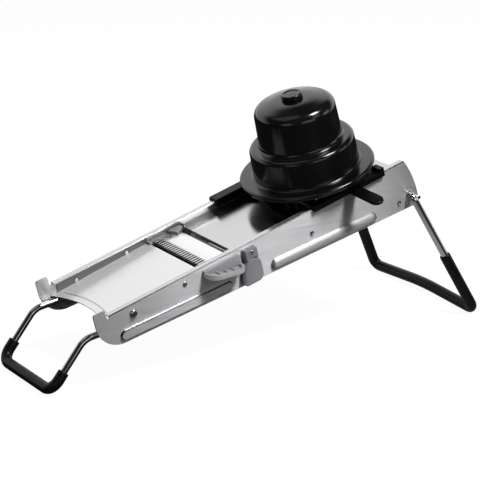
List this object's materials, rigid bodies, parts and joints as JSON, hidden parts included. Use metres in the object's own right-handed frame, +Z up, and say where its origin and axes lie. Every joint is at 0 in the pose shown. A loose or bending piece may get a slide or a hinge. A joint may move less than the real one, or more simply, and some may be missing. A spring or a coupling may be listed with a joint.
{
  "type": "mandoline slicer",
  "caption": "Folded steel mandoline slicer on wire legs, with a side-drawn blade, a lever-set infeed plate and a domed sliding food pusher.",
  "frame": {"origin": "on the floor, at the middle of the standing slicer's outline", "axes": "+X along the slicer from its low front end to its high rear end, +Y to its left side, +Z up"},
  "size_m": [0.5291, 0.1918, 0.2605],
  "materials": {
    "brushed_side": "brushed along the length",
    "satin_plate": "fine satin",
    "polished_steel": "polished",
    "blade_steel": "bright ground",
    "chrome_wire": "bright plated",
    "spring_steel": "drawn wire",
    "black_rubber": "soft matt",
    "black_plastic": "semi-gloss moulded",
    "grey_plastic": "fine moulded grain"
  },
  "bodies": {
    "frame": {"left_side_plate": "brushed_side", "right_side_plate": "brushed_side", "exit_plate": "satin_plate", "exit_plate_rivets": "polished_steel", "front_leg_clips": "grey_plastic", "front_blade_bar": "black_plastic", "rear_blade_bar": "black_plastic", "blade_end_clip": "grey_plastic", "infeed_hinge_rod": "polished_steel", "lever_guide": "grey_plastic", "lever_guide_screw": "polished_steel", "rear_leg_stops": "polished_steel"},
    "front_leg": {"front_leg_wire": "chrome_wire", "front_leg_sleeve": "black_rubber"},
    "rear_leg": {"rear_leg_wire": "chrome_wire", "rear_leg_sleeve": "black_rubber", "rear_leg_caps": "polished_steel"},
    "infeed": {"infeed_plate": "satin_plate", "infeed_hinge_lugs": "satin_plate"},
    "lever": {"cam_shaft": "polished_steel", "thickness_cams": "grey_plastic", "thickness_lever": "grey_plastic", "shaft_retainer": "polished_steel"},
    "blade_cassette": {"slicing_blade": "blade_steel", "blade_carrier": "grey_plastic", "blade_rivets": "polished_steel", "carrier_handle": "grey_plastic"},
    "carriage": {"carriage_base": "black_plastic", "right_guide_shoe": "black_plastic", "left_guide_shoe": "black_plastic", "shoe_screws": "polished_steel", "side_wing": "black_plastic"},
    "dome": {"pusher_dome": "black_plastic", "dome_cap": "black_plastic", "retaining_ring": "black_plastic", "ring_screws": "polished_steel", "plunger_spring": "spring_steel"},
    "plunger": {"plunger_rod": "polished_steel", "plunger_button": "black_plastic", "prong_plate": "black_plastic", "food_prongs": "polished_steel"}
  },
  "joints": [
    {"name": "front_leg_fold", "type": "hinge", "parent": "frame", "child": "front_leg", "pos_m": [-0.14546, 0.00322, 0.06518], "axis": [0, -1, 0], "range_deg": [0, 155]},
    {"name": "rear_leg_fold", "type": "hinge", "parent": "frame", "child": "rear_leg", "pos_m": [0.18052, 0.00322, 0.14221], "axis": [0, 1, 0], "range_deg": [0, 98]},
    {"name": "lever_turn", "type": "hinge", "parent": "frame", "child": "lever", "pos_m": [-0.02698, 0.00322, 0.10025], "axis": [0, -1, 0], "range_deg": [0, 60]},
    {"name": "infeed_tilt", "type": "hinge", "parent": "frame", "child": "infeed", "pos_m": [0.16674, 0.00322, 0.16113], "axis": [0, -1, 0], "range_deg": [0, 1.4]},
    {"name": "blade_cassette_slide", "type": "slide", "parent": "frame", "child": "blade_cassette", "axis": [0, -1, 0], "range_m": [0, 0.12]},
    {"name": "carriage_slide", "type": "slide", "parent": "frame", "child": "carriage", "axis": [0.9609, 0, 0.2767], "range_m": [-0.205, 0.02]},
    {"name": "dome_turn", "type": "hinge", "parent": "carriage", "child": "dome", "pos_m": [0.08826, 0.00322, 0.1583], "axis": [-0.2767, 0, 0.9609], "continuous": true},
    {"name": "plunger_lift", "type": "slide", "parent": "dome", "child": "plunger", "axis": [-0.2767, 0, 0.9609], "range_m": [0, 0.045], "stiffness_N_per_m": 80, "springref_m": -0.06, "deforming": ["plunger_spring"]}
  ],
  "couplings": [
    {"joint": "infeed_tilt", "follows": "lever_turn", "ratio": 0.023029}
  ]
}
